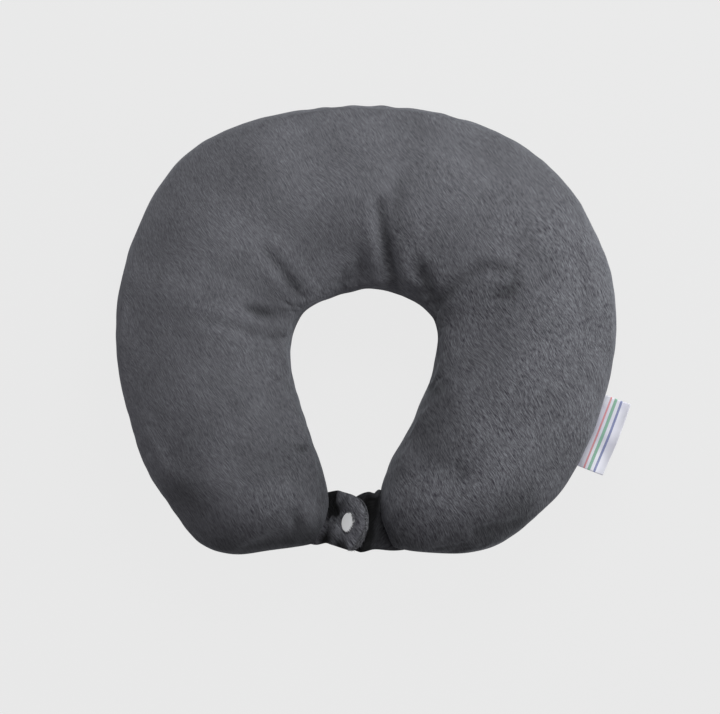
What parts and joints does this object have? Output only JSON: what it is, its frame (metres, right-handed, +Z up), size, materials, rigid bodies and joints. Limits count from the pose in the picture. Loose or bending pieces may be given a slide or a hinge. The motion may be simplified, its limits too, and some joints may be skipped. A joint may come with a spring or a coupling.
{
  "type": "u shaped neck pillow",
  "caption": "U-shaped stuffed plush neck pillow, its tips closed by two short fabric tabs with a press snap, and a folded ribbon label in the outer seam.",
  "frame": {"origin": "under the middle of the whole object's box, label included, on the surface it lies on", "axes": "+Z up out of the upper panel, +Y from the snapped tips towards the back of the neck, +X to the right seen from above with the back of the neck away, which is the side with the label"},
  "size_m": [0.314, 0.2725, 0.089],
  "materials": {
    "plush": "matte",
    "filling": "matte",
    "thread": "matte",
    "snap_resin": "satin",
    "label_ribbon": "satin"
  },
  "bodies": {
    "pillow": {"front_panel": "plush", "back_panel": "plush", "fibre_fill": "filling", "perimeter_stitch": "thread", "closing_stitch": "thread", "upper_tab_root": "plush", "under_tab_root": "plush", "label_root": "label_ribbon"},
    "upper_tab": {"upper_tab_face": "plush", "upper_tab_backing": "plush", "upper_tab_stitch": "thread", "snap_cap": "snap_resin", "snap_stud": "snap_resin"},
    "under_tab": {"under_tab_face": "plush", "under_tab_backing": "plush", "under_tab_stitch": "thread", "snap_socket": "snap_resin", "socket_cap": "snap_resin"},
    "label": {"side_label": "label_ribbon"}
  },
  "joints": [
    {"name": "upper_tab_bend", "type": "hinge", "parent": "pillow", "child": "upper_tab", "pos_m": [-0.02511, -0.11444, 0.03856], "axis": [-0.225, -0.9744, 0], "range_deg": [0, 42]},
    {"name": "under_tab_bend", "type": "hinge", "parent": "pillow", "child": "under_tab", "pos_m": [-0.00453, -0.11919, 0.05674], "axis": [-0.225, -0.9744, 0], "range_deg": [0, 42]},
    {"name": "label_flap", "type": "hinge", "parent": "pillow", "child": "label", "pos_m": [0.1368, -0.06265, 0.043], "axis": [0.3665, 0.9304, 0], "range_deg": [-60, 60], "stiffness_Nm_per_rad": 0.0001}
  ]
}
